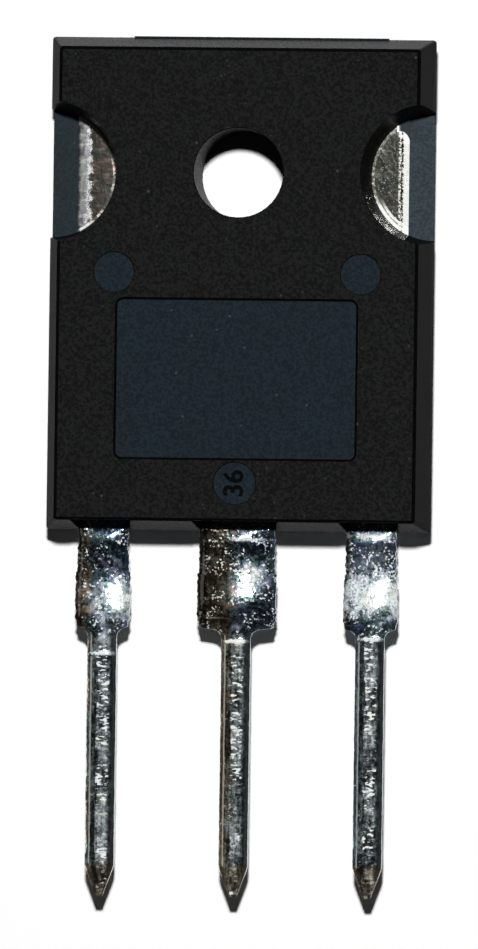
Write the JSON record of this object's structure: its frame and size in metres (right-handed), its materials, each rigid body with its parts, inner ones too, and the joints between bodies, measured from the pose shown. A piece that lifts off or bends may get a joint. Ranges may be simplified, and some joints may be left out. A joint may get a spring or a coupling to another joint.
{
  "type": "power mosfet",
  "caption": "Through-hole power MOSFET: black moulded body with a mounting hole and side notches, bare metal back and a row of solder-dipped pointed leads.",
  "frame": {"origin": "the mounting hole's axis at the back face, which is the bare metal of the heat spreader", "axes": "+Z out of the front face along the hole's axis, -Y along the leads towards their tips, +X towards the source lead"},
  "size_m": [0.0156, 0.035, 0.005],
  "materials": {
    "mould_compound": "matte",
    "tinned_copper": "satin",
    "solder_dipped_lead": "gloss",
    "silicon": "satin",
    "soft_solder": "satin",
    "bond_wire": "satin"
  },
  "bodies": {
    "root": {"moulded_body": "mould_compound", "drain_tab": "tinned_copper", "gate_lead": "solder_dipped_lead", "source_lead": "solder_dipped_lead", "silicon_die": "silicon", "die_solder": "soft_solder", "gate_bond_wire": "bond_wire", "source_bond_wire_1": "bond_wire", "source_bond_wire_2": "bond_wire"}
  },
  "joints": []
}
